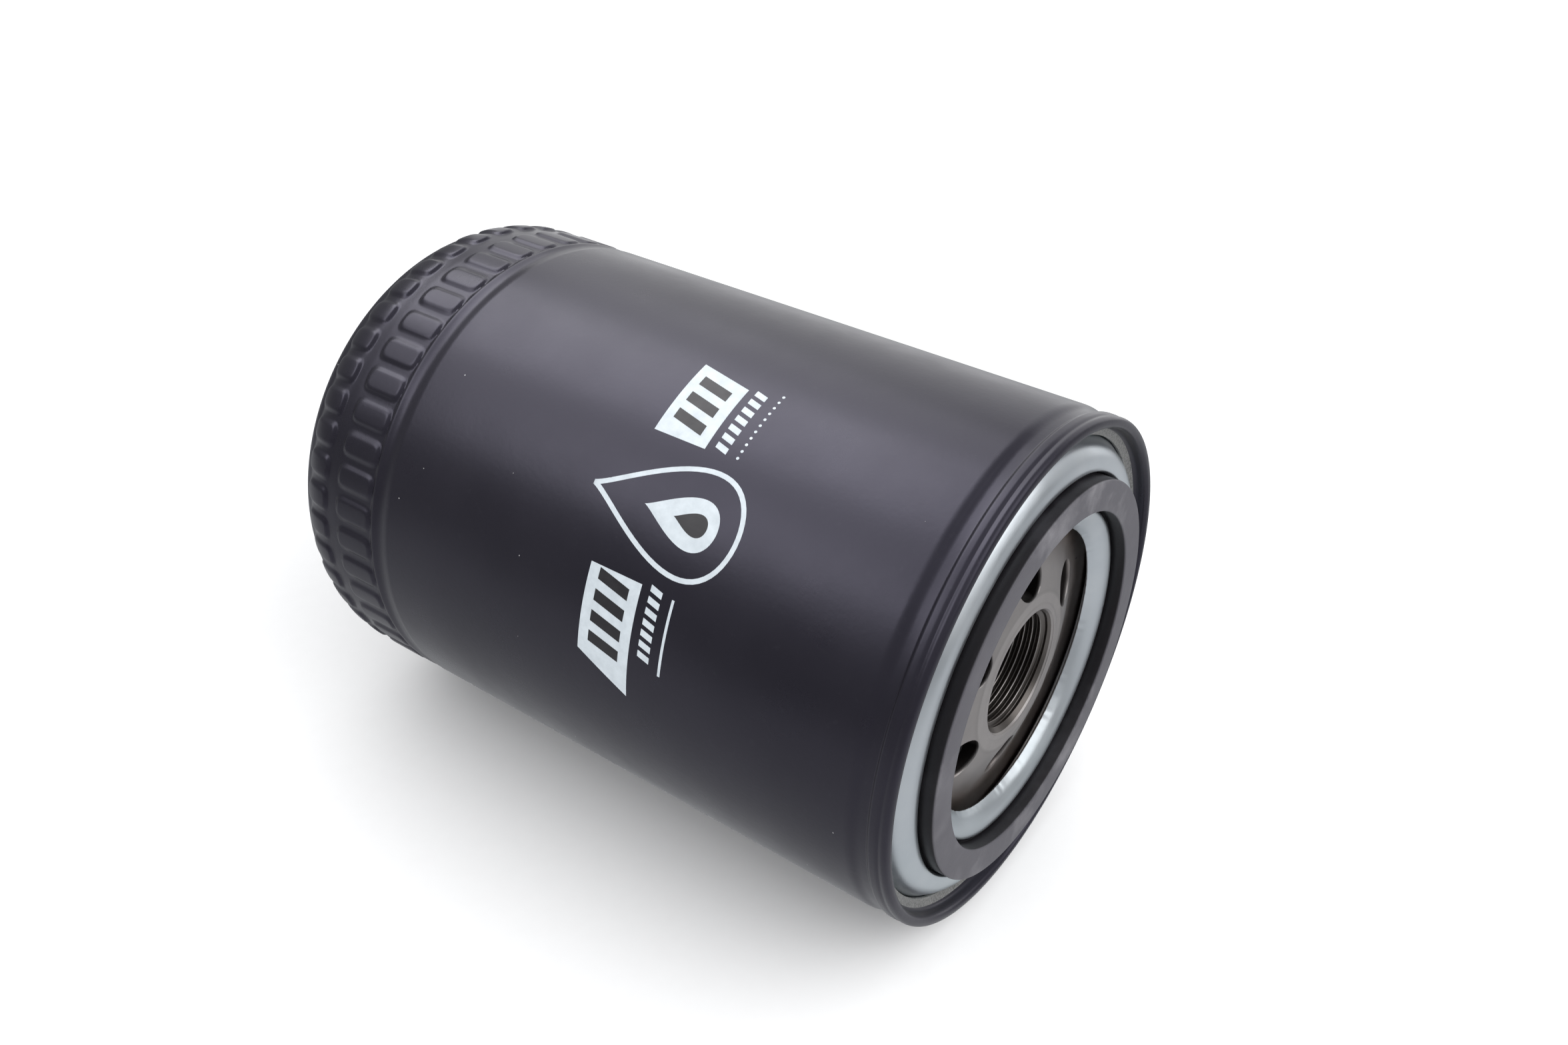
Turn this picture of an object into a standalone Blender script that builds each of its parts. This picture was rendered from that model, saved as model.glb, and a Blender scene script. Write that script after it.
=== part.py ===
"""Spin-on oil filter, 93 mm can, 142 mm long, lying on its side.

The filter's axis is the world X axis direction, the threaded open end faces +X,
and the can rests on the plane z = 0.  Every piece is placed on one empty,
filter_axis, whose local +Z is the filter's axis towards the open end.
Depths are measured from the gasket's sealing face into the filter.
"""

import math

import bmesh
import bpy

MM = 0.001

# Driving dimensions, in millimetres
LENGTH = 142.0              # gasket face to dome crown
CAN_RADIUS = 46.5
CAN_WALL = 1.0
CAN_INNER = CAN_RADIUS - CAN_WALL
ROUND_STEPS = 24            # facets around the large turned pieces
SMALL_STEPS = 24            # facets around the valve pieces
GAP = 0.3                   # clearance between touching pieces

RIM_DEPTH = 2.2             # top of the rolled seam below the gasket face
PAD_COUNT = 46              # grip pads around the closed end
PAD_CREST = 46.6
PAD_FLOOR = 46.05
PAD_GROOVE_WIDTH = 1.4
LONG_PAD_START = 115.2
LONG_PAD_END = 124.3
SHORT_PAD_START = 126.9
SHORT_PAD_END = 134.0
SHORT_PAD_DROP = 0.45       # how far the shoulder falls away at the short pads' middle
SHORT_PAD_LEAN = math.radians(14.0)
SHOULDER_DEPTH = 127.5      # depth where the shoulder's curve begins
SHOULDER_RADIUS = 14.0      # radial size of the shoulder's curve
SHOULDER_DROP = 13.2        # axial size of the shoulder's curve
CROWN_FLAT = 24.0           # radius of the flat crown that the filter can stand on

GASKET_INNER = 30.8
GASKET_OUTER = 36.4
GASKET_HEIGHT = 5.9

THREAD_MINOR_RADIUS = 10.3  # M22 x 1.5 female thread
THREAD_LENGTH_END = 17.0
COLLAR_RADIUS = 11.8
COLLAR_DEPTH = 4.4
PLATE_THICKNESS = 3.0
PLATE_RADIUS = 41.2
PLATE_EDGE_DEPTH = 7.4
INLET_COUNT = 6
INLET_RING_RADIUS = 18.9
INLET_RADIUS = 4.1
INLET_FIRST_ANGLE = math.radians(174.4)

ELEMENT_FRONT = 17.6
ELEMENT_REAR = 128.9
CAP_SHEET = 0.6
CAP_SKIRT = 4.0
CAP_OUTER = 40.0
CAP_INNER = 15.0
MEDIA_OUTER = 38.4
MEDIA_INNER = 17.5
MEDIA_SHEET = 0.5
PLEAT_COUNT = 50
TUBE_OUTER = 16.9
TUBE_WALL = 0.7
TUBE_HOLE_RADIUS = 2.5
TUBE_HOLE_ROWS = 6
TUBE_HOLES_AROUND = 6

BYPASS_SEAT_DEPTH = 127.4
BYPASS_OPENING = 7.0
BYPASS_DISC = 9.4
CAGE_OUTER = 12.6
CAGE_WALL = 0.8
CAGE_END_DEPTH = 111.0
CAGE_WINDOW_DEPTH = 120.5    # middle of the four windows
CAGE_WINDOW_WIDTH = 9.0
CAGE_WINDOW_HEIGHT = 8.0
CAGE_MOUTH = 5.0             # radius of the opening in the cage's end
POPPET_SHEET = 0.9
SEAL_THICKNESS = 1.5

HOLD_DOWN_WIRE = 2.4
BYPASS_WIRE = 1.1
END_TURN_FLATTENING = 0.48   # 0 is an even helix, 1 has quite flat ends
SPRING_SEAT_SHEET = 0.8
SPRING_FLOOR_CLEARANCE = 1.1 # the hold-down spring's foot above the crown's inside

FACE = LENGTH / 2.0         # local z of the gasket face
AXIS_HEIGHT = PAD_CREST

COLLECTION = bpy.data.collections.new("oil_filter")
CUTTERS = bpy.data.collections.new("cutters")


def clear_scene():
    """Remove what the scene holds and link the two collections."""
    for thing in list(bpy.data.objects):
        bpy.data.objects.remove(thing, do_unlink=True)
    bpy.context.scene.collection.children.link(COLLECTION)
    bpy.context.scene.collection.children.link(CUTTERS)


def height(depth):
    """Local z, in millimetres, of a depth below the gasket face."""
    return FACE - depth


def material(name, color, roughness, metallic):
    """A Principled material with one colour."""
    made = bpy.data.materials.new(name)
    made.use_nodes = True
    shader = made.node_tree.nodes["Principled BSDF"]
    shader.inputs["Base Color"].default_value = (*color, 1.0)
    shader.inputs["Roughness"].default_value = roughness
    shader.inputs["Metallic"].default_value = metallic
    made.diffuse_color = (*color, 1.0)
    return made


def place(made, axis, finish):
    """Parent a piece to the filter's axis and give it its material."""
    COLLECTION.objects.link(made)
    made.parent = axis
    made.data.materials.append(finish)


def turned_mesh(name, outline, steps):
    """Mesh of an outline of (radius, depth) points, ready for a Screw modifier.

    The outline runs clockwise: out along the top, down the outer side.
    Its radii are grown so that the facets' flats lie on the true circle, and
    it starts half a facet round, so that a flat faces straight down.
    """
    grow = MM / math.cos(math.pi / steps)
    start = math.pi / steps
    shape = bmesh.new()
    points = []
    for radius, depth in outline:
        across = radius * grow
        corner = (across * math.cos(start), across * math.sin(start), height(depth) * MM)
        points.append(shape.verts.new(corner))
    for first, second in zip(points, points[1:] + points[:1]):
        on_axis = first.co.x == 0.0 and second.co.x == 0.0
        if not on_axis:
            shape.edges.new((first, second))
    made = bpy.data.meshes.new(name)
    shape.to_mesh(made)
    shape.free()
    return made


def turned(name, outline, axis, finish, steps=ROUND_STEPS):
    """One turned piece: the outline with a Screw modifier about local Z."""
    made = bpy.data.objects.new(name, turned_mesh(name, outline, steps))
    place(made, axis, finish)
    screw = made.modifiers.new("turn", "SCREW")
    screw.axis = "Z"
    screw.angle = 2.0 * math.pi
    screw.steps = steps
    screw.render_steps = steps
    screw.use_merge_vertices = True
    screw.merge_threshold = 0.00001
    screw.use_smooth_shade = True
    return made


def arc(centre_radius, centre_depth, across, along, first, last, count):
    """Points on an elliptical arc, by angle from the radial direction."""
    points = []
    for index in range(count + 1):
        angle = math.radians(first + (last - first) * index / count)
        radius = centre_radius + across * math.cos(angle)
        points.append((radius, centre_depth + along * math.sin(angle)))
    return points


def add_block(shape, centre, size, angle, tilt=0.0):
    """Add a box to a bmesh: radial, tangential and axial size, turned about Z."""
    made = bmesh.ops.create_cube(shape, size=1.0)["verts"]
    for corner in made:
        radial, tangent, axial = (corner.co[i] * size[i] * MM for i in range(3))
        leaned = radial * math.cos(tilt) - axial * math.sin(tilt)
        raised = radial * math.sin(tilt) + axial * math.cos(tilt)
        out = leaned + centre[0] * MM
        corner.co.x = out * math.cos(angle) - tangent * math.sin(angle)
        corner.co.y = out * math.sin(angle) + tangent * math.cos(angle)
        corner.co.z = raised + centre[1] * MM


def cutter(name, shape, axis):
    """Turn a bmesh into a hidden cutter on the filter's axis."""
    made = bpy.data.objects.new(name, bpy.data.meshes.new(name))
    shape.to_mesh(made.data)
    shape.free()
    CUTTERS.objects.link(made)
    made.parent = axis
    made.hide_render = True
    made.display_type = "WIRE"
    return made


def cut(made, tool):
    """Subtract a cutter from a piece."""
    boolean = made.modifiers.new(tool.name, "BOOLEAN")
    boolean.operation = "DIFFERENCE"
    boolean.solver = "EXACT"
    boolean.object = tool


def pad_grooves(axis):
    """Grooves between the two rows of grip pads at the closed end."""
    shape = bmesh.new()
    block = 3.0
    out = PAD_FLOOR + block / 2.0
    for index in range(PAD_COUNT):
        angle = 2.0 * math.pi * (index + 0.5) / PAD_COUNT
        length = LONG_PAD_END - LONG_PAD_START
        middle = height((LONG_PAD_START + LONG_PAD_END) / 2.0)
        add_block(shape, (out, middle), (block, PAD_GROOVE_WIDTH, length), angle)
        length = SHORT_PAD_END - SHORT_PAD_START
        middle = height((SHORT_PAD_START + SHORT_PAD_END) / 2.0)
        size = (block, PAD_GROOVE_WIDTH, length)
        add_block(shape, (out - SHORT_PAD_DROP, middle), size, angle, -SHORT_PAD_LEAN)
    return cutter("pad_grooves", shape, axis)


def can(axis, paint):
    """Deep-drawn can: rolled seam, neck, cylinder, two pad rows, shoulder, dome."""
    wall = CAN_WALL
    crown_radius = CAN_RADIUS - SHOULDER_RADIUS
    outside = [
        (42.4, 5.3), (43.8, 5.0), (44.3, 4.4), (44.3, 3.1), (44.8, 2.35),
        (45.4, RIM_DEPTH), (46.1, 2.6), (46.4, 3.3), (46.2, 3.9), (46.4, 4.5),
        (46.4, 5.7), (46.0, 6.1), (46.0, 8.0), (CAN_RADIUS, 9.2),
        (CAN_RADIUS, 110.5), (46.15, 112.8), (PAD_CREST, 115.2),
        (PAD_CREST, LONG_PAD_END), (46.1, 125.6), (CAN_RADIUS, SHORT_PAD_START),
    ]
    outside += arc(crown_radius, SHOULDER_DEPTH, SHOULDER_RADIUS, SHOULDER_DROP, 10, 90, 6)
    outside += [(CROWN_FLAT, LENGTH), (0.0, LENGTH)]
    inside = [(0.0, LENGTH - wall), (CROWN_FLAT, LENGTH - wall)]
    inner_arc = arc(crown_radius, SHOULDER_DEPTH, SHOULDER_RADIUS - wall, SHOULDER_DROP - wall, 0, 90, 4)
    inside += inner_arc[::-1]
    inside += [
        (CAN_INNER, 6.5), (45.9, 5.6), (45.9, 3.4), (45.6, 2.9),
        (45.1, 2.8), (44.8, 3.2), (44.8, 4.7), (44.0, 5.5), (42.4, 5.8),
    ]
    made = turned("can", outside + inside, axis, paint)
    cut(made, pad_grooves(axis))
    return made


def seaming_lid(axis, zinc):
    """Zinc-plated lid: rolled inner lip, gasket groove, crown and seam flange."""
    groove_floor = GASKET_HEIGHT + GAP
    groove_inner = GASKET_INNER - GAP
    groove_outer = GASKET_OUTER + GAP
    sheet = 0.8
    top = [
        (26.0, 5.2), (27.0, 3.9), (28.4, 2.95), (29.6, 2.55), (30.2, 2.6),
        (groove_inner, 3.1), (groove_inner, groove_floor), (groove_outer, groove_floor),
        (groove_outer, 3.0), (37.0, 2.5), (37.8, 2.45), (39.3, 2.9), (40.9, 4.0),
        (42.0, 5.6), (42.4, 6.15), (44.1, 6.1), (44.7, 5.8), (45.1, 5.0), (45.1, 4.0),
    ]
    underside = [
        (45.6, 4.0), (45.6, 5.2), (45.15, 6.2), (44.9, 6.95), (41.6, 6.95),
        (41.3, 5.9), (40.4, 4.5), (38.9, 3.6), (groove_outer + sheet, 3.4),
        (groove_outer + sheet, groove_floor + sheet), (groove_inner - sheet, groove_floor + sheet),
        (groove_inner - sheet, 3.5), (28.8, 3.7), (27.6, 4.5), (26.7, 5.7),
    ]
    return turned("seaming_lid", top + underside, axis, zinc)


def seam_sealant(axis, compound):
    """Bead of sealing compound in the hook of the rolled seam."""
    outline = [(45.1, 3.25), (45.55, 3.25), (45.55, 3.65), (45.1, 3.65)]
    return turned("seam_sealant", outline, axis, compound)


def sealing_gasket(axis, rubber):
    """Square-section gasket ring standing proud of its groove."""
    edge = 0.3
    outline = [
        (GASKET_INNER + edge, 0.0), (GASKET_OUTER - edge, 0.0), (GASKET_OUTER, edge),
        (GASKET_OUTER, GASKET_HEIGHT), (GASKET_INNER, GASKET_HEIGHT), (GASKET_INNER, edge),
    ]
    return turned("sealing_gasket", outline, axis, rubber)


def thread_plate(axis, steel):
    """Dished steel plate with the drawn, threaded collar and the oil inlets."""
    thick = PLATE_THICKNESS
    bore = THREAD_MINOR_RADIUS
    boss = bore + 3.1        # outer radius of the drawn collar inside the filter
    outline = [
        (bore, 6.1), (COLLAR_RADIUS, COLLAR_DEPTH), (15.2, COLLAR_DEPTH + 0.15),
        (24.2, PLATE_EDGE_DEPTH), (PLATE_RADIUS, PLATE_EDGE_DEPTH),
        (PLATE_RADIUS, PLATE_EDGE_DEPTH + thick), (24.9, PLATE_EDGE_DEPTH + thick),
        (16.2, COLLAR_DEPTH + thick + 0.3), (boss, COLLAR_DEPTH + thick + 1.2),
        (boss, THREAD_LENGTH_END), (bore, THREAD_LENGTH_END),
    ]
    made = turned("thread_plate", outline, axis, steel)
    shape = bmesh.new()
    for index in range(INLET_COUNT):
        angle = INLET_FIRST_ANGLE + 2.0 * math.pi * index / INLET_COUNT
        drill = bmesh.ops.create_cone(
            shape, cap_ends=True, segments=16, depth=20.0 * MM,
            radius1=INLET_RADIUS * MM, radius2=INLET_RADIUS * MM,
        )["verts"]
        across = INLET_RING_RADIUS * MM
        offset = (across * math.cos(angle), across * math.sin(angle), height(8.0) * MM)
        bmesh.ops.translate(shape, vec=offset, verts=drill)
    cut(made, cutter("inlet_drills", shape, axis))
    return made


def anti_drainback_valve(axis, rubber):
    """Rubber hub on the collar with a skirt whose lip closes the inlets."""
    lip = PLATE_EDGE_DEPTH + PLATE_THICKNESS + GAP
    outline = [
        (13.8, 13.4), (15.2, 13.4), (24.2, lip + 0.9), (25.4, lip), (27.0, lip),
        (27.4, lip + 0.8), (25.2, lip + 1.9), (15.4, 15.2), (15.4, 17.2), (13.8, 17.2),
    ]
    return turned("anti_drainback_valve", outline, axis, rubber)


def end_cap(name, outer_depth, direction, axis, steel):
    """Channel-shaped end cap: flat ring with an outer and an inner skirt."""
    back = outer_depth + direction * CAP_SHEET
    rim = outer_depth + direction * CAP_SKIRT
    outline = [
        (CAP_INNER, outer_depth), (CAP_OUTER, outer_depth), (CAP_OUTER, rim),
        (CAP_OUTER - CAP_SHEET, rim), (CAP_OUTER - CAP_SHEET, back),
        (CAP_INNER + CAP_SHEET, back), (CAP_INNER + CAP_SHEET, rim), (CAP_INNER, rim),
    ]
    if direction < 0:
        outline.reverse()
    return turned(name, outline, axis, steel)


def potting(name, outer_depth, direction, axis, plastisol):
    """Ring of plastisol that bonds the paper into its end cap."""
    near = outer_depth + direction * (CAP_SHEET + GAP)
    far = outer_depth + direction * (CAP_SKIRT - 0.4)
    inner = CAP_INNER + CAP_SHEET + GAP
    outer = CAP_OUTER - CAP_SHEET - GAP
    outline = [(inner, near), (outer, near), (outer, far), (inner, far)]
    if direction < 0:
        outline.reverse()
    return turned(name, outline, axis, plastisol)


def centre_tube(axis, steel):
    """Perforated tube that carries the paper and the clean oil."""
    front = ELEMENT_FRONT + CAP_SKIRT
    rear = ELEMENT_REAR - CAP_SKIRT
    inner = TUBE_OUTER - TUBE_WALL
    outline = [(inner, front), (TUBE_OUTER, front), (TUBE_OUTER, rear), (inner, rear)]
    made = turned("centre_tube", outline, axis, steel, SMALL_STEPS)
    shape = bmesh.new()
    pitch = (rear - front) / TUBE_HOLE_ROWS
    side = 2.0 * TUBE_HOLE_RADIUS
    for row in range(TUBE_HOLE_ROWS):
        for index in range(TUBE_HOLES_AROUND):
            turn = 2.0 * math.pi * (index + 0.5 * (row % 2)) / TUBE_HOLES_AROUND
            level = height(front + pitch * (row + 0.5))
            add_block(shape, (TUBE_OUTER, level), (6.0, side, 1.6 * side), turn)
    cut(made, cutter("tube_punches", shape, axis))
    return made


def fold_point(radius, angle):
    """Point of the pleated outline, in metres."""
    return (radius * MM * math.cos(angle), radius * MM * math.sin(angle), 0.0, 1.0)


def pleated_media(axis, paper):
    """Pleated paper: a zigzag sheet, its two ends meeting at the seam clip."""
    half_pitch = math.pi / PLEAT_COUNT
    lean = MEDIA_INNER * half_pitch / (MEDIA_OUTER - MEDIA_INNER)
    crest_fold = MEDIA_SHEET / math.sin(lean)
    valley_fold = MEDIA_SHEET / math.sin(lean + half_pitch)
    inside = []
    outside = []
    for index in range(1, 2 * PLEAT_COUNT):
        angle = index * half_pitch
        if index % 2 == 0:
            outside.append((MEDIA_OUTER, angle))
            inside.append((MEDIA_OUTER - crest_fold, angle))
        else:
            outside.append((MEDIA_INNER + valley_fold, angle))
            inside.append((MEDIA_INNER, angle))
    near = 0.1 / MEDIA_OUTER
    far = near + MEDIA_SHEET / MEDIA_OUTER
    first_end = [(MEDIA_OUTER, near), (MEDIA_OUTER, far)]
    last_end = [(MEDIA_OUTER, 2.0 * math.pi - far), (MEDIA_OUTER, 2.0 * math.pi - near)]
    outline = bpy.data.curves.new("pleats", "CURVE")
    outline.dimensions = "2D"
    outline.fill_mode = "BOTH"
    length = ELEMENT_REAR - ELEMENT_FRONT - 2.0 * CAP_SKIRT
    outline.extrude = 0.5 * length * MM
    spline = outline.splines.new("POLY")
    corners = first_end + outside + last_end + inside[::-1]
    spline.points.add(len(corners) - 1)
    for point, (radius, angle) in zip(spline.points, corners):
        point.co = fold_point(radius, angle)
    spline.use_cyclic_u = True
    made = curve_to_mesh("pleated_media", outline)
    place(made, axis, paper)
    made.location.z = height(0.5 * (ELEMENT_FRONT + ELEMENT_REAR)) * MM
    return made


def curve_to_mesh(name, outline):
    """Evaluate a curve as a welded mesh object that is not yet linked."""
    source = bpy.data.objects.new(name + "_curve", outline)
    bpy.context.scene.collection.objects.link(source)
    graph = bpy.context.evaluated_depsgraph_get()
    made = bpy.data.objects.new(name, bpy.data.meshes.new_from_object(source.evaluated_get(graph)))
    bpy.data.objects.remove(source, do_unlink=True)
    shape = bmesh.new()
    shape.from_mesh(made.data)
    bmesh.ops.remove_doubles(shape, verts=shape.verts, dist=0.000005)
    bmesh.ops.recalc_face_normals(shape, faces=shape.faces)
    shape.to_mesh(made.data)
    shape.free()
    return made


def pleat_seam_clip(axis, steel):
    """Folded strip that grips the two ends of the paper."""
    outline = bpy.data.curves.new("clip", "CURVE")
    outline.dimensions = "2D"
    outline.fill_mode = "BOTH"
    length = ELEMENT_REAR - ELEMENT_FRONT - 2.0 * CAP_SKIRT
    outline.extrude = 0.5 * length * MM
    spline = outline.splines.new("POLY")
    base = MEDIA_OUTER + GAP
    corners = [
        (32.0, 2.0), (base + 0.4, 2.0), (base + 0.4, -2.0), (32.0, -2.0),
        (32.0, -1.6), (base, -1.6), (base, 1.6), (32.0, 1.6),
    ]
    spline.points.add(len(corners) - 1)
    for point, (across, side) in zip(spline.points, corners):
        point.co = (across * MM, side * MM, 0.0, 1.0)
    spline.use_cyclic_u = True
    made = curve_to_mesh("pleat_seam_clip", outline)
    place(made, axis, steel)
    made.location.z = height(0.5 * (ELEMENT_FRONT + ELEMENT_REAR)) * MM
    return made


def bypass_seat(axis, steel):
    """Seat ring of the bypass valve, pressed into the rear end cap."""
    top = BYPASS_SEAT_DEPTH
    outline = [(BYPASS_OPENING, top), (14.6, top), (14.6, top + 1.4), (BYPASS_OPENING, top + 1.4)]
    return turned("bypass_seat", outline, axis, steel, SMALL_STEPS)


def bypass_cage(axis, steel):
    """Cup that guides the bypass disc, open in its end and through windows."""
    inner = CAGE_OUTER - CAGE_WALL
    rim = BYPASS_SEAT_DEPTH - GAP
    flange = rim - CAGE_WALL
    outline = [
        (CAGE_MOUTH, CAGE_END_DEPTH), (CAGE_OUTER, CAGE_END_DEPTH), (CAGE_OUTER, flange),
        (14.4, flange), (14.4, rim), (inner, rim), (inner, CAGE_END_DEPTH + CAGE_WALL),
        (CAGE_MOUTH, CAGE_END_DEPTH + CAGE_WALL),
    ]
    made = turned("bypass_cage", outline, axis, steel, SMALL_STEPS)
    shape = bmesh.new()
    middle = (CAGE_OUTER, height(CAGE_WINDOW_DEPTH))
    size = (6.0, CAGE_WINDOW_WIDTH, CAGE_WINDOW_HEIGHT)
    for index in range(4):
        add_block(shape, middle, size, 0.5 * math.pi * (index + 0.5))
    cut(made, cutter("cage_windows", shape, axis))
    return made


def bypass_poppet(axis, steel):
    """Sprung disc of the bypass valve, with a hub that centres its spring."""
    base = BYPASS_SEAT_DEPTH - GAP - SEAL_THICKNESS - GAP
    back = base - POPPET_SHEET
    hub = base - 2.2
    outline = [
        (0.0, hub), (5.0, hub), (5.0, back), (BYPASS_DISC, back), (BYPASS_DISC, base), (0.0, base),
    ]
    return turned("bypass_poppet", outline, axis, steel, SMALL_STEPS)


def bypass_seal(axis, rubber):
    """Rubber washer under the bypass disc."""
    low = BYPASS_SEAT_DEPTH - GAP
    high = low - SEAL_THICKNESS
    outline = [(4.0, high), (BYPASS_DISC, high), (BYPASS_DISC, low), (4.0, low)]
    return turned("bypass_seal", outline, axis, rubber, SMALL_STEPS)


def coil(name, first, last, turns, wire, per_turn, axis, steel):
    """Round wire coiled between two (radius, depth) ends, whose end turns lie nearly flat."""
    count = int(turns * per_turn)
    path = bpy.data.curves.new(name, "CURVE")
    path.dimensions = "3D"
    path.bevel_depth = 0.5 * wire * MM
    path.bevel_resolution = 2
    path.use_fill_caps = True
    spline = path.splines.new("POLY")
    spline.points.add(count)
    for index, point in enumerate(spline.points):
        share = index / count
        angle = 2.0 * math.pi * turns * share
        radius = (first[0] + (last[0] - first[0]) * share) * MM
        rise = share - END_TURN_FLATTENING * math.sin(2.0 * math.pi * share) / (2.0 * math.pi)
        level = height(first[1] + (last[1] - first[1]) * rise) * MM
        point.co = (radius * math.cos(angle), radius * math.sin(angle), level, 1.0)
    made = bpy.data.objects.new(name, path)
    place(made, axis, steel)
    return made


def springs(axis, steel):
    """The bypass valve's spring and the spring that holds the element forward."""
    wire = BYPASS_WIRE
    poppet_back = BYPASS_SEAT_DEPTH - 2.0 * GAP - SEAL_THICKNESS - POPPET_SHEET
    low = poppet_back - GAP - 0.5 * wire
    high = CAGE_END_DEPTH + CAGE_WALL + GAP + 0.5 * wire
    coil("bypass_spring", (7.0, low), (7.0, high), 5.0, wire, 12, axis, steel)
    wire = HOLD_DOWN_WIRE
    low = ELEMENT_REAR + 2.0 * GAP + SPRING_SEAT_SHEET + 0.5 * wire
    high = LENGTH - CAN_WALL - SPRING_FLOOR_CLEARANCE - GAP - 0.5 * wire
    coil("hold_down_spring", (19.0, low), (25.0, high), 2.6, wire, 14, axis, steel)


def spring_seat(axis, steel):
    """Flat ring between the hold-down spring and the rear end cap."""
    near = ELEMENT_REAR + GAP
    far = near + SPRING_SEAT_SHEET
    outline = [(15.5, near), (23.0, near), (23.0, far), (15.5, far)]
    return turned("spring_seat", outline, axis, steel, SMALL_STEPS)


def build():
    """Make the whole filter on its axis."""
    clear_scene()
    axis = bpy.data.objects.new("filter_axis", None)
    COLLECTION.objects.link(axis)
    axis.location = (0.0, 0.0, AXIS_HEIGHT * MM)
    axis.rotation_euler = (0.0, 0.5 * math.pi, 0.0)

    paint = material("black_paint", (0.045, 0.043, 0.050), 0.38, 0.0)
    zinc = material("zinc_plate", (0.62, 0.67, 0.70), 0.35, 1.0)
    plate_steel = material("plate_steel", (0.36, 0.34, 0.34), 0.5, 1.0)
    sheet_steel = material("sheet_steel", (0.52, 0.52, 0.53), 0.4, 1.0)
    spring_steel = material("spring_steel", (0.30, 0.30, 0.32), 0.35, 1.0)
    rubber = material("black_rubber", (0.025, 0.024, 0.027), 0.7, 0.0)
    paper = material("filter_paper", (0.72, 0.52, 0.22), 0.9, 0.0)
    plastisol = material("plastisol", (0.35, 0.10, 0.05), 0.55, 0.0)

    can(axis, paint)
    seaming_lid(axis, zinc)
    seam_sealant(axis, plastisol)
    sealing_gasket(axis, rubber)
    thread_plate(axis, plate_steel)
    anti_drainback_valve(axis, rubber)
    end_cap("front_end_cap", ELEMENT_FRONT, 1, axis, sheet_steel)
    end_cap("rear_end_cap", ELEMENT_REAR, -1, axis, sheet_steel)
    potting("front_potting", ELEMENT_FRONT, 1, axis, plastisol)
    potting("rear_potting", ELEMENT_REAR, -1, axis, plastisol)
    centre_tube(axis, sheet_steel)
    pleated_media(axis, paper)
    pleat_seam_clip(axis, sheet_steel)
    bypass_seat(axis, sheet_steel)
    bypass_cage(axis, sheet_steel)
    bypass_poppet(axis, sheet_steel)
    bypass_seal(axis, rubber)
    springs(axis, spring_steel)
    spring_seat(axis, sheet_steel)


build()
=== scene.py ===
"""Looks of the spin-on oil filter: fine surfaces, materials, light, floor and camera.

Depths run from the gasket's face into the filter, in millimetres, and angles run
round its axis from straight up towards +Y.  Lengths are millimetres unless a name
or a comment says otherwise.
"""

import math

import bmesh
import bpy
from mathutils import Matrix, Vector


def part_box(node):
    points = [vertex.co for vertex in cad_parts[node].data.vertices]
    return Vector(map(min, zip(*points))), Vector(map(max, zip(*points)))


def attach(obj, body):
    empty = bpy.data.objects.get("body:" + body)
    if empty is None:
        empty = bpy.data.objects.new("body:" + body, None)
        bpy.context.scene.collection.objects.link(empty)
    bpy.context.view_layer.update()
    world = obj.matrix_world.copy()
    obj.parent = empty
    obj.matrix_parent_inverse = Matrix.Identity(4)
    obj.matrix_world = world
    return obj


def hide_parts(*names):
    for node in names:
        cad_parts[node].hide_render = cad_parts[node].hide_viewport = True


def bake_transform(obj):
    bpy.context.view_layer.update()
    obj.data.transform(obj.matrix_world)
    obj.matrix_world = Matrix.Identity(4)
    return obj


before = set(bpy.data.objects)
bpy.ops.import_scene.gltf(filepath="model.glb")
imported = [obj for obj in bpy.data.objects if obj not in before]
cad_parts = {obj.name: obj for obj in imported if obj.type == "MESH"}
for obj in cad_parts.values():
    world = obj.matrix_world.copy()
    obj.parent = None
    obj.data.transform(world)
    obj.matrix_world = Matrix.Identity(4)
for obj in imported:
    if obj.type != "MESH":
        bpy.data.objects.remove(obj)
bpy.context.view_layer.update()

MM = 0.001

# Where the filter lies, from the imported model
FACE_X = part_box("sealing_gasket")[1].x
AXIS_Z = 0.5 * (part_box("can")[0].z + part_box("can")[1].z)
LENGTH = (FACE_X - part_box("can")[0].x) / MM

# Can
CAN_RADIUS = 46.5
CAN_WALL = 1.0
PAD_COUNT = 46
PAD_PITCH = 2.0 * math.pi / PAD_COUNT
PAD_FIRST = math.radians(178.6)
PAD_CREST = 46.6
PAD_ROWS = ((114.9, 124.4), (126.9, 134.0))
PAD_DEPTH = 0.5
PAD_HALF_WIDTH = 2.6
PADS_START = 114.2
PADS_END = 135.6
CAN_STEPS = PAD_COUNT * 16
VALLEY_START = 110.0
VALLEY_END = 115.2
VALLEY_DEPTH = 0.36
SHOULDER_DEPTH = 127.5
SHOULDER_ACROSS = 14.0
SHOULDER_ALONG = 13.2
SHOULDER_CENTRE = (CAN_RADIUS - SHOULDER_ACROSS, SHOULDER_DEPTH)
RAW_EDGE_RADIUS = 43.9
RAW_EDGE_DEPTH = 6.0

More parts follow.
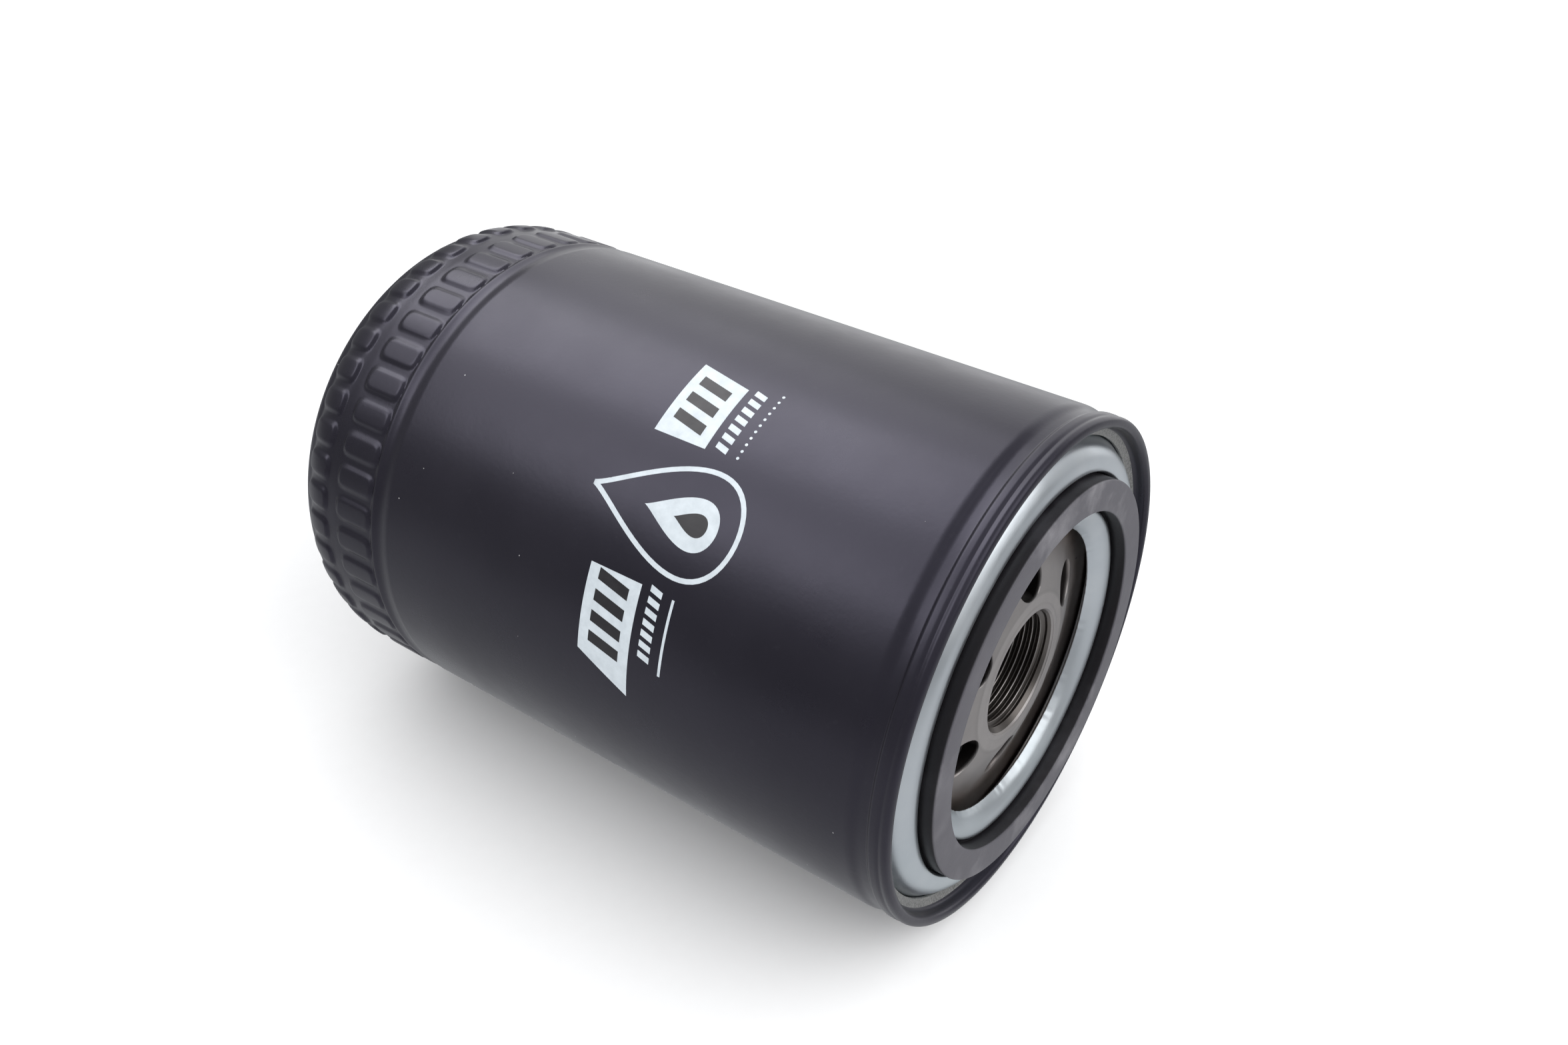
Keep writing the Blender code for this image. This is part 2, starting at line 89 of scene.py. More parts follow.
# Thread plate
BORE_RADIUS = 10.3
THREAD_PITCH = 1.5
THREAD_HEIGHT = 0.8
THREAD_END = 17.0
THREAD_ROW = THREAD_PITCH / 20.0
COLLAR_RADIUS = 11.8
COLLAR_DEPTH = 4.4
CHAMFER_END = 6.1
PLATE_THICKNESS = 3.0
PLATE_RADIUS = 41.2
PLATE_EDGE_DEPTH = 7.4
CONE_START = 15.2
CONE_START_DEPTH = COLLAR_DEPTH + 0.15
CONE_END = 24.2
CONE_SLOPE = (PLATE_EDGE_DEPTH - CONE_START_DEPTH) / (CONE_END - CONE_START)
INLET_COUNT = 6
INLET_FIRST = math.radians(5.6)
INLET_RING = 18.9
INLET_RADIUS = 4.1

# Bypass valve's cage
CAGE_RADIUS = 12.6
WINDOW_DEPTH = 120.5

# Springs: radius at both ends, turns, wire, and how flat the end turns lie
HOLD_DOWN_RADII = (19.0, 25.0)
HOLD_DOWN_TURNS = 2.6
HOLD_DOWN_WIRE = 2.4
BYPASS_RADII = (7.0, 7.0)
BYPASS_TURNS = 5.0
BYPASS_WIRE = 1.1
END_TURN_FLATTENING = 0.48

# Printed mark on the can
MARK_ANGLE = math.radians(-49.0)
MARK_DEPTH = 53.0
INK_TOP = CAN_RADIUS + 0.04
INK_THICKNESS = 0.05


# ---------------------------------------------------------------- shapes

def spot(radius, depth, angle):
    """Point in metres at a radius, depth and angle."""
    across = radius * MM * math.sin(angle)
    up = radius * MM * math.cos(angle)
    return Vector((FACE_X - depth * MM, across, AXIS_Z + up))


def outward_at(angle):
    """One millimetre along the radius at an angle."""
    return spot(1.0, 0.0, angle) - spot(0.0, 0.0, 0.0)


def radius_of(point):
    """Distance of a point in metres from the filter's axis, in millimetres."""
    return math.hypot(point.y, point.z - AXIS_Z) / MM


def smooth(share):
    """Smooth step from 0 at 0 to 1 at 1."""
    share = min(1.0, max(0.0, share))
    return share * share * (3.0 - 2.0 * share)


def depths(node):
    """Nearest and farthest depth of a CAD node."""
    low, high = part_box(node)
    return (FACE_X - high.x) / MM, (FACE_X - low.x) / MM


def outer_radius(node):
    """Outer radius of a turned CAD node."""
    low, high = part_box(node)
    return 0.5 * (high.y - low.y) / MM


def fillet(corners, segments=5):
    """Closed outline of (radius, depth) from corners of (radius, depth, reach)."""
    points = []
    for index, (radius, depth, reach) in enumerate(corners):
        here = Vector((radius, depth))
        if reach == 0.0:
            points.append((radius, depth))
            continue
        before = Vector(corners[index - 1][:2]) - here
        after = Vector(corners[(index + 1) % len(corners)][:2]) - here
        start = here + before.normalized() * min(reach, 0.45 * before.length)
        end = here + after.normalized() * min(reach, 0.45 * after.length)
        for step in range(segments + 1):
            share = step / segments
            point = start * (1.0 - share) ** 2 + here * 2.0 * share * (1.0 - share) + end * share ** 2
            points.append((point.x, point.y))
    return points


def put(name, data):
    """New object in the scene for a mesh, light or camera."""
    made = bpy.data.objects.new(name, data)
    bpy.context.scene.collection.objects.link(made)
    return made


def link_shape(name, shape):
    """Object from a bmesh, which is freed."""
    mesh = bpy.data.meshes.new(name)
    shape.to_mesh(mesh)
    shape.free()
    return put(name, mesh)


def ring_faces(rings):
    """Quads between neighbouring rings with the same number of corners."""
    faces = []
    for ring, following in zip(rings, rings[1:]):
        for step in range(len(ring)):
            ahead = (step + 1) % len(ring)
            faces.append((ring[step], ring[ahead], following[ahead], following[step]))
    return faces


def finish_mesh(name, points, faces, sharp=35.0):
    """Object from points and faces, facing outwards and shaded smooth."""
    source = bpy.data.meshes.new(name)
    source.from_pydata(points, [], faces)
    shape = bmesh.new()
    shape.from_mesh(source)
    bpy.data.meshes.remove(source)
    bmesh.ops.recalc_face_normals(shape, faces=shape.faces)
    made = link_shape(name, shape)
    made.data.shade_smooth()
    made.data.set_sharp_from_angle(angle=math.radians(sharp))
    return made


def lathe(name, outline, steps, shape=None, shaped=None, sharp=35.0):
    """Turned piece. shape moves the first shaped points of the outline, by angle."""
    shaped = len(outline) if shaped is None else shaped
    points = []
    rings = []
    for index, (radius, depth) in enumerate(outline):
        if radius == 0.0:
            rings.append([len(points)] * steps)
            points.append(spot(0.0, depth, 0.0))
            continue
        rings.append(list(range(len(points), len(points) + steps)))
        for step in range(steps):
            angle = 2.0 * math.pi * step / steps
            place = (radius, depth)
            if shape is not None and index < shaped:
                place = shape(radius, depth, angle)
            points.append(spot(*place, angle))
    faces = []
    for ring, following in zip(rings, rings[1:] + rings[:1]):
        for step in range(steps):
            ahead = (step + 1) % steps
            corners = (ring[step], ring[ahead], following[ahead], following[step])
            face = list(dict.fromkeys(corners))
            if len(face) > 2:
                faces.append(face)
    return finish_mesh(name, points, faces, sharp)


def arc(centre, across, along, first, last, count):
    """Points of (radius, depth) on an elliptical arc, by degrees from the radial direction."""
    points = []
    for index in range(count + 1):
        angle = math.radians(first + (last - first) * index / count)
        points.append((centre[0] + across * math.cos(angle), centre[1] + along * math.sin(angle)))
    return points


def tube(name, path, radius, sides=12):
    """Round wire along a path of points in metres, cut square at its ends."""
    points = []
    rings = []
    last = len(path) - 1
    for index, here in enumerate(path):
        ahead = path[min(index + 1, last)] - path[max(index - 1, 0)]
        side = ahead.cross(Vector((1.0, 0.0, 0.0))).normalized()
        other = ahead.cross(side).normalized()
        rings.append(list(range(len(points), len(points) + sides)))
        for step in range(sides):
            turn = 2.0 * math.pi * step / sides
            points.append(here + (side * math.cos(turn) + other * math.sin(turn)) * radius)
    return finish_mesh(name, points, ring_faces(rings) + [rings[0], rings[-1]], sharp=50.0)


def stand_for(piece, node, body, finish):
    """Give a piece its materials, and let it stand for a CAD node on its body."""
    for each in finish:
        piece.data.materials.append(each)
    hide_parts(node)
    if body is not None:
        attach(piece, body)


def turned_shell(name, node, body, corners, sides, finish):
    """Turned piece with one finish, from corners, in place of a CAD node."""
    piece = lathe(name, fillet(corners), sides)
    stand_for(piece, node, body, (finish,))


# ---------------------------------------------------------------- materials

class Surface:
    """One procedural material, with short calls for its nodes."""

    def __init__(self, name, roughness=0.5, metallic=0.0):
        self.material = bpy.data.materials.new(name)
        self.material.use_nodes = True
        self.tree = self.material.node_tree
        self.shader = self.tree.nodes["Principled BSDF"]
        self.shader.inputs["Metallic"].default_value = metallic
        self.shader.inputs["Roughness"].default_value = roughness
        self.place = self.node("ShaderNodeTexCoord").outputs["Object"]

    def node(self, kind, **settings):
        """Add a node and set its properties."""
        made = self.tree.nodes.new(kind)
        for key, value in settings.items():
            setattr(made, key, value)
        return made

    def join(self, source, target):
        """Link a socket, or set a number, into an input."""
        if isinstance(source, (int, float)):
            target.default_value = source
        else:
            self.tree.links.new(source, target)

    def math(self, operation, first, second=0.0, third=0.0):
        """Result of a Math node."""
        made = self.node("ShaderNodeMath", operation=operation)
        for value, socket in zip((first, second, third), made.inputs):
            self.join(value, socket)
        return made.outputs[0]

    def noise(self, scale, detail=3.0, roughness=0.55, place=None, stretch=None):
        """Noise value from 0 to 1, with scale in cells per metre."""
        made = self.node("ShaderNodeTexNoise")
        made.inputs["Scale"].default_value = scale
        made.inputs["Detail"].default_value = detail
        made.inputs["Roughness"].default_value = roughness
        source = self.place if place is None else place
        if stretch is not None:
            mapping = self.node("ShaderNodeMapping")
            mapping.inputs["Scale"].default_value = stretch
            self.join(source, mapping.inputs["Vector"])
            source = mapping.outputs[0]
        self.join(source, made.inputs["Vector"])
        return made.outputs["Fac"]

    def ramp(self, value, low, high, start=0.0, end=1.0):
        """Map a value from low..high to start..end, held at both ends."""
        made = self.node("ShaderNodeMapRange", clamp=True)
        for number, key in ((low, 1), (high, 2), (start, 3), (end, 4)):
            made.inputs[key].default_value = number
        self.join(value, made.inputs[0])
        return made.outputs[0]

    def mix(self, share, first, second):
        """Mix of two colours or colour sockets."""
        made = self.node("ShaderNodeMix", data_type="RGBA")
        self.join(share, made.inputs[0])
        for colour, key in ((first, 6), (second, 7)):
            if isinstance(colour, tuple):
                made.inputs[key].default_value = (*colour, 1.0)
            else:
                self.join(colour, made.inputs[key])
        return made.outputs[2]

    def specks(self, scale, size, share):
        """1 on small round specks, which only this share of the cells has."""
        made = self.node("ShaderNodeTexVoronoi")
        made.inputs["Scale"].default_value = scale
        self.join(self.place, made.inputs["Vector"])
        red = self.node("ShaderNodeSeparateColor")
        self.join(made.outputs["Color"], red.inputs[0])
        chosen = self.math("LESS_THAN", red.outputs[0], share)
        wide = self.math("MULTIPLY", red.outputs[1], size)
        near = self.math("LESS_THAN", made.outputs["Distance"], wide)
        return self.math("MULTIPLY", chosen, near)

    def axes(self):
        """The place split into its X, Y and Z."""
        made = self.node("ShaderNodeSeparateXYZ")
        self.join(self.place, made.inputs[0])
        return made.outputs

    def depth(self):
        """Depth behind the gasket's face in metres."""
        return self.math("SUBTRACT", FACE_X, self.axes()[0])

    def radius_and_angle(self):
        """Distance from the filter's axis in metres, and angle round it."""
        axes = self.axes()
        across = axes[1]
        up = self.math("SUBTRACT", axes[2], AXIS_Z)
        square = self.math("ADD", self.math("MULTIPLY", up, up), self.math("MULTIPLY", across, across))
        return self.math("SQRT", square), self.math("ARCTAN2", across, up)

    def turned(self):
        """Place as radius, length and a much shortened way round, for lines left by turning."""
        radius, angle = self.radius_and_angle()
        joined = self.node("ShaderNodeCombineXYZ")
        self.join(radius, joined.inputs[0])
        self.join(self.axes()[0], joined.inputs[1])
        self.join(self.math("MULTIPLY", angle, 0.004), joined.inputs[2])
        return joined.outputs[0]

    def bump(self, height, distance, strength=1.0):
        """Bump from a height that spans this distance in metres."""
        made = self.node("ShaderNodeBump")
        made.inputs["Strength"].default_value = strength
        made.inputs["Distance"].default_value = distance
        self.join(height, made.inputs["Height"])
        self.join(made.outputs[0], self.shader.inputs["Normal"])

    def colour(self, source):
        """Set the base colour."""
        self.join(source, self.shader.inputs["Base Color"])

    def rough(self, source):
        """Set the roughness."""
        self.join(source, self.shader.inputs["Roughness"])


def satin_paint():
    """Baked black paint: soft gloss, slight orange peel, cloudy tint and dust."""
    surface = Surface("satin_black_paint")
    cloud = surface.noise(22.0, 4.0)
    base = surface.mix(surface.ramp(cloud, 0.3, 0.7), (0.0080, 0.0072, 0.0105), (0.0130, 0.0118, 0.0165))
    dust = surface.specks(260.0, 0.038, 0.5)
    film = surface.ramp(surface.noise(700.0, 4.0, 0.7), 0.60, 0.80, 0.0, 0.05)
    base = surface.mix(film, base, (0.12, 0.12, 0.13))
    surface.colour(surface.mix(dust, base, (0.34, 0.34, 0.34)))
    surface.shader.inputs["Specular Tint"].default_value = (0.82, 0.79, 1.0, 1.0)
    surface.rough(surface.ramp(surface.noise(60.0, 5.0, 0.65), 0.35, 0.7, 0.27, 0.34))
    peel = surface.math("ADD", surface.noise(1100.0, 2.0), surface.math("MULTIPLY", dust, 3.0))
    surface.bump(peel, 0.000012)
    return surface.material


def raw_edge_steel():
    """Sheared edge of the can's sheet: grey, torn and grainy."""
    surface = Surface("raw_sheet_edge", 0.6, 0.6)
    grain = surface.noise(2600.0, 5.0, 0.7)
    surface.colour(surface.mix(surface.ramp(grain, 0.3, 0.7), (0.12, 0.12, 0.12), (0.42, 0.42, 0.41)))
    surface.rough(surface.ramp(grain, 0.2, 0.8, 0.45, 0.75))
    surface.bump(grain, 0.00012)
    return surface.material


def zinc_plating():
    """Bright bluish zinc plating over drawn sheet."""
    surface = Surface("zinc_plating", 0.3, 1.0)
    cloud = surface.noise(45.0, 5.0, 0.6)
    tint = surface.mix(surface.ramp(cloud, 0.3, 0.7), (0.74, 0.79, 0.83), (0.84, 0.88, 0.91))
    green = surface.ramp(surface.noise(18.0, 2.0), 0.5, 0.75, 0.0, 0.5)
    tint = surface.mix(green, tint, (0.68, 0.77, 0.79))
    pits = surface.specks(420.0, 0.10, 0.05)
    surface.colour(surface.mix(pits, tint, (0.36, 0.38, 0.38)))
    lines = surface.noise(5200.0, 3.0, 0.6, surface.turned())
    fogged = surface.ramp(surface.noise(80.0, 4.0), 0.3, 0.75, 0.30, 0.46)
    surface.rough(surface.math("ADD", fogged, surface.math("MULTIPLY", lines, 0.06)))
    surface.bump(surface.math("ADD", lines, surface.noise(1500.0, 2.0)), 0.000008)
    return surface.material


def plate_steel():
    """Pickled plate: warm grey, stained brown at its edge, with painted shade, near black, in its inlets."""
    surface = Surface("thread_plate_steel", 0.45, 1.0)
    radius = surface.radius_and_angle()[0]
    mottle = surface.noise(130.0, 6.0, 0.65)
    base = surface.mix(surface.ramp(mottle, 0.3, 0.7), (0.44, 0.41, 0.40), (0.55, 0.52, 0.505))
    outside = surface.ramp(radius, 0.0190, 0.0260)
    stain = surface.math("MULTIPLY", outside, surface.ramp(surface.noise(70.0, 4.0), 0.3, 0.7, 0.3, 1.0))
    base = surface.mix(stain, base, (0.25, 0.19, 0.16))
    marks = surface.specks(520.0, 0.14, 0.06)
    base = surface.mix(marks, base, (0.16, 0.13, 0.12))
    # Painted shade: the walls of the inlets, below the cone's surface, are coloured near black
    below = surface.math("SUBTRACT", surface.depth(), surface.math("MULTIPLY", radius, CONE_SLOPE))
    sunk = surface.ramp(below, -0.0003, 0.0005)
    inlet_shade = surface.math("MULTIPLY", sunk, surface.ramp(radius, 0.0144, 0.0150))
    surface.colour(surface.mix(inlet_shade, base, (0.06, 0.052, 0.050)))
    surface.rough(surface.ramp(mottle, 0.25, 0.75, 0.36, 0.52))
    surface.bump(surface.noise(2200.0, 3.0, 0.6), 0.00001)
    return surface.material


def thread_steel():
    """Cut thread: crests painted bright as a highlight, flanks painted dark as shade, fine tool lines."""
    surface = Surface("cut_thread_steel", 0.34, 1.0)
    crest = BORE_RADIUS * MM
    # Painted highlight and shade: the crests are coloured bright and the grooves' flanks dark
    deep = surface.ramp(surface.radius_and_angle()[0], crest + 0.00001, crest + 0.00007)
    lines = surface.noise(6000.0, 2.0, 0.6, surface.turned())
    base = surface.mix(deep, (0.66, 0.63, 0.61), (0.170, 0.155, 0.145))
    surface.colour(surface.mix(surface.ramp(lines, 0.4, 0.7, 0.0, 0.3), base, (0.22, 0.19, 0.16)))
    surface.rough(surface.ramp(lines, 0.3, 0.7, 0.28, 0.42))
    surface.bump(lines, 0.00001)
    return surface.material


def gasket_rubber():
    """Moulded nitrile rubber, its face painted paler than the sides as painted light, with talc and dusty
    smudges.
    """
    surface = Surface("gasket_rubber", 0.5)
    smudge = surface.noise(95.0, 6.0, 0.65)
    wide = surface.ramp(surface.noise(30.0), 0.4, 0.6)
    patch = surface.math("MULTIPLY", surface.ramp(smudge, 0.48, 0.72), wide)
    # Painted light: the face is coloured paler than the moulded sides, with talc smudges over it
    face = surface.ramp(surface.depth(), 0.0004, 0.0001)
    moulded = surface.mix(patch, (0.009, 0.008, 0.010), (0.022, 0.021, 0.025))
    talc_and_painted_light = surface.mix(patch, (0.066, 0.063, 0.074), (0.160, 0.155, 0.168))
    base = surface.mix(face, moulded, talc_and_painted_light)
    dust = surface.specks(500.0, 0.06, 0.06)
    surface.colour(surface.mix(dust, base, (0.4, 0.4, 0.4)))
    surface.rough(surface.ramp(smudge, 0.3, 0.7, 0.40, 0.52))
    surface.bump(surface.noise(2400.0, 3.0), 0.000012)
    return surface.material


def valve_rubber():
    """Softer black rubber of the valves, with a light oil film."""
    surface = Surface("valve_rubber", 0.45)
    film = surface.noise(160.0, 4.0)
    surface.colour(surface.mix(surface.ramp(film, 0.3, 0.7), (0.014, 0.014, 0.015), (0.032, 0.031, 0.033)))
    surface.rough(surface.ramp(film, 0.3, 0.7, 0.34, 0.56))
    surface.bump(surface.noise(1900.0, 2.0), 0.00001)
    return surface.material


def tinned_sheet():
    """Thin pressed sheet of the element and valve, with rolling marks."""
    surface = Surface("pressed_sheet", 0.35, 1.0)
    cloud = surface.noise(60.0, 4.0)
    rolled = surface.noise(900.0, 3.0, 0.6, None, (0.12, 1.0, 1.0))
    base = surface.mix(surface.ramp(cloud, 0.3, 0.7), (0.52, 0.52, 0.53), (0.62, 0.62, 0.62))
    surface.colour(surface.mix(surface.ramp(rolled, 0.5, 0.8, 0.0, 0.4), base, (0.40, 0.40, 0.41)))
    surface.rough(surface.ramp(rolled, 0.3, 0.7, 0.28, 0.44))
    surface.bump(rolled, 0.000008)
    return surface.material


def spring_steel():
    """Drawn, oil-tempered wire."""
    surface = Surface("spring_wire", 0.35, 1.0)
    scale = surface.noise(340.0, 4.0)
    surface.colour(surface.mix(surface.ramp(scale, 0.3, 0.7), (0.16, 0.16, 0.18), (0.32, 0.31, 0.31)))
    surface.rough(surface.ramp(scale, 0.3, 0.7, 0.26, 0.46))
    surface.bump(surface.noise(3000.0, 2.0), 0.000008)
    return surface.material


def filter_paper():
    """Resin-treated cellulose with fibres and fine corrugation."""
    surface = Surface("pleated_paper", 0.9)
    fibre = surface.noise(1500.0, 5.0, 0.7, None, (0.35, 1.0, 1.0))
    cloud = surface.noise(80.0, 3.0)
    base = surface.mix(surface.ramp(cloud, 0.3, 0.7), (0.62, 0.43, 0.18), (0.74, 0.55, 0.27))
    surface.colour(surface.mix(surface.ramp(fibre, 0.45, 0.75, 0.0, 0.5), base, (0.84, 0.68, 0.42)))
    surface.rough(surface.ramp(fibre, 0.2, 0.8, 0.8, 0.95))
    surface.bump(fibre, 0.00004)
    return surface.material


def plastisol():
    """Cured plastisol: dull rust red, with small bubbles."""
    surface = Surface("cured_plastisol", 0.5)
    cloud = surface.noise(110.0, 4.0)
    surface.colour(surface.mix(surface.ramp(cloud, 0.3, 0.7), (0.26, 0.06, 0.03), (0.36, 0.10, 0.05)))
    bubbles = surface.specks(700.0, 0.2, 0.2)
    surface.rough(surface.ramp(cloud, 0.3, 0.7, 0.42, 0.6))
    surface.bump(surface.math("SUBTRACT", cloud, bubbles), 0.00003)
    return surface.material


def ink(name, colour, worn):
    """Pad-printed ink with pinholes and slightly uneven cover."""
    surface = Surface(name, 0.42)
    cover = surface.noise(420.0, 4.0, 0.7)
    base = surface.mix(surface.ramp(cover, 0.35, 0.7), colour, worn)
    holes = surface.specks(600.0, 0.10, 0.05)
    surface.colour(surface.mix(holes, base, (0.10, 0.10, 0.11)))
    surface.rough(surface.ramp(cover, 0.3, 0.7, 0.36, 0.5))
    surface.bump(cover, 0.000006)
    return surface.material


# ---------------------------------------------------------------- can

def pad_cut(depth, angle):
    """How far the surface lies below the pads' crests at a depth and angle."""
    if depth < PADS_START or depth > PADS_END:
        return 0.0
    cell = (angle - PAD_FIRST) / PAD_PITCH
    across = abs(cell - math.floor(cell) - 0.5) * PAD_PITCH * PAD_CREST / PAD_HALF_WIDTH
    raised = 0.0
    for start, end in PAD_ROWS:
        along = abs(depth - 0.5 * (start + end)) / (0.5 * (end - start))
        inside = 1.0 - across ** 3 - along ** 7
        raised = max(raised, smooth(inside / 0.8))
    fade = smooth((depth - PADS_START) / 1.0) * smooth((PADS_END - depth) / 2.2)
    crown = 0.10 * min(1.0, across) ** 2
    return fade * (PAD_DEPTH * (1.0 - raised) + crown * raised)


def pressed_pads(radius, depth, angle):
    """Move a point of the can's outer surface inwards between the pads."""
    sunk = pad_cut(depth, angle)
    rise = min(1.0, max(0.0, (depth - SHOULDER_DEPTH) / SHOULDER_ALONG))
    level = math.sqrt(1.0 - rise * rise) / SHOULDER_ACROSS
    fall = rise / SHOULDER_ALONG
    length = math.hypot(level, fall)
    return radius - sunk * level / length, depth - sunk * fall / length


def can_body():
    """Outside of the can from its neck to the crown, as (radius, depth)."""
    points = [(CAN_RADIUS, 9.3 + 12.5 * index) for index in range(1, 8)]
    for index in range(21):
        share = index / 20.0
        depth = VALLEY_START + (VALLEY_END - VALLEY_START) * share
        dip = 0.5 * VALLEY_DEPTH * (1.0 - math.cos(2.0 * math.pi * share))
        points.append((CAN_RADIUS - dip + 0.1 * smooth(2.0 * share - 1.0), depth))
    rows = 42
    for index in range(1, rows):
        depth = VALLEY_END + (SHOULDER_DEPTH - VALLEY_END) * index / rows
        points.append((PAD_CREST - 0.1 * smooth((depth - PAD_ROWS[0][1]) / 3.0), depth))
    points += arc(SHOULDER_CENTRE, SHOULDER_ACROSS, SHOULDER_ALONG, 0.0, 38.0, 32)
    points += arc(SHOULDER_CENTRE, SHOULDER_ACROSS, SHOULDER_ALONG, 42.0, 84.0, 10)
    for index in range(9):
        share = index / 8.0
        points.append((30.5 - 8.5 * share, LENGTH - 0.95 * (1.0 - share) ** 2))
    points += [(14.0, LENGTH), (6.0, LENGTH), (0.0, LENGTH)]
    return points


def can_shell(paint, edge):
    """Deep-drawn can with its rolled seam, neck, two rows of pads and crown."""
    seam = fillet([
        (42.4, 5.3, 0.08), (43.7, 5.05, 0.5), (44.3, 4.4, 0.4), (44.3, 3.0, 0.5),
        (44.7, 2.3, 0.4), (45.4, 2.2, 0.4), (46.15, 2.5, 0.5), (46.4, 3.2, 0.3),
        (46.22, 3.9, 0.15), (46.42, 4.4, 0.3), (46.42, 5.6, 0.3), (46.0, 6.05, 0.25),
        (46.0, 8.0, 0.6), (CAN_RADIUS, 9.3, 0.8),
        (CAN_RADIUS, 60.0, 0.0), (30.0, 60.0, 0.0),
    ])[:-2]
    outside = seam + can_body()
    wall = CAN_WALL
    inner = CAN_RADIUS - wall
    inner_arc = arc(SHOULDER_CENTRE, SHOULDER_ACROSS - wall, SHOULDER_ALONG - wall, 0.0, 84.0, 12)
    inside = [(0.0, LENGTH - wall), (22.0, LENGTH - wall)]
    inside += inner_arc[::-1]
    inside += [
        (inner, 60.0), (inner, 6.5), (45.9, 5.6), (45.9, 3.4), (45.6, 2.9),
        (45.1, 2.8), (44.8, 3.2), (44.8, 4.7), (44.0, 5.5), (42.4, 5.8),
    ]
    piece = lathe("can_shell", outside + inside, CAN_STEPS, pressed_pads, len(outside), 50.0)
    stand_for(piece, "can", "housing", (paint, edge))
    for face in piece.data.polygons:
        depth = (FACE_X - face.center.x) / MM
        if radius_of(face.center) < RAW_EDGE_RADIUS and depth < RAW_EDGE_DEPTH:
            face.material_index = 1


# ---------------------------------------------------------------- open end

def lip_burr(radius, depth, angle):
    """Slightly uneven inner edge of the lid's rolled lip."""
    near = smooth((27.4 - radius) / 1.4)
    wave = math.sin(5.0 * angle) + 0.6 * math.sin(13.0 * angle + 1.0) + 0.35 * math.sin(61.0 * angle)
    nick = max(0.0, math.sin(97.0 * angle) * math.sin(9.0 * angle + 0.6)) ** 3
    return radius + near * (0.05 * wave + 0.14 * nick), depth


def lid_shell(zinc):
    """Zinc-plated lid: rolled inner lip, gasket groove, convex ring and seam flange."""
    top = [
        (26.0, 5.2, 0.15), (27.0, 3.9, 0.6), (28.4, 2.95, 0.6), (29.6, 2.55, 0.4),
        (30.2, 2.6, 0.3), (30.5, 3.1, 0.2), (30.5, 6.2, 0.2), (36.7, 6.2, 0.2),
        (36.7, 3.0, 0.25), (37.0, 2.5, 0.2), (37.9, 2.4, 0.5), (39.5, 2.9, 0.8),
        (40.9, 4.0, 0.7), (41.9, 5.5, 0.4), (42.4, 6.15, 0.2), (44.1, 6.1, 0.3),
        (44.7, 5.8, 0.3), (45.1, 5.0, 0.2), (45.1, 4.0, 0.1),
    ]
    under = [
        (45.6, 4.0, 0.1), (45.6, 5.2, 0.3), (45.15, 6.2, 0.3), (44.9, 6.95, 0.1),
        (41.6, 6.95, 0.3), (41.3, 5.9, 0.4), (40.4, 4.5, 0.5), (38.9, 3.6, 0.5),
        (37.5, 3.4, 0.2), (37.5, 7.0, 0.3), (29.7, 7.0, 0.3), (29.7, 3.5, 0.2),
        (28.8, 3.7, 0.3), (27.6, 4.5, 0.4), (26.7, 5.7, 0.15),
    ]
    piece = lathe("lid_shell", fillet(top + under), 384, lip_burr)
    stand_for(piece, "seaming_lid", "housing", (zinc,))


def gasket_ring(rubber):
    """Square-section gasket with softened edges and a faint mould line."""
    near, far = depths("sealing_gasket")
    outer = outer_radius("sealing_gasket")
    inner = outer - 5.6
    corners = [
        (inner, near, 0.35), (outer, near, 0.35), (outer, near + 2.9, 0.0),
        (outer - 0.06, near + 3.0, 0.0), (outer, near + 3.1, 0.0), (outer, far, 0.25),
        (inner, far, 0.25), (inner, near + 3.1, 0.0), (inner + 0.06, near + 3.0, 0.0),
        (inner, near + 2.9, 0.0),
    ]
    piece = lathe("gasket_ring", fillet(corners, 6), 288)
    stand_for(piece, "sealing_gasket", "housing", (rubber,))


def thread_groove(radius, depth, angle):
    """Cut the right-hand thread and its entry chamfer into a point of the bore."""
    if radius > BORE_RADIUS + 0.001:
        return radius, depth
    turn = depth / THREAD_PITCH - angle / (2.0 * math.pi)
    flank = abs(2.0 * (turn - math.floor(turn)) - 1.0)
    groove = min(1.0, max(0.0, (0.88 - flank) / 0.62))
    fade = smooth((THREAD_END - 0.2 - depth) / 1.5)
    chamfer = max(0.0, CHAMFER_END - depth) * (COLLAR_RADIUS - BORE_RADIUS) / (CHAMFER_END - COLLAR_DEPTH)
    return BORE_RADIUS + max(chamfer, THREAD_HEIGHT * groove * fade), depth


def punch(shape, rings):
    """Add a closed plug through these rings of points to a cutter's bmesh."""
    rings = [[shape.verts.new(point) for point in ring] for ring in rings]
    for corners in ring_faces(rings) + [rings[0], rings[-1]]:
        shape.faces.new(corners)


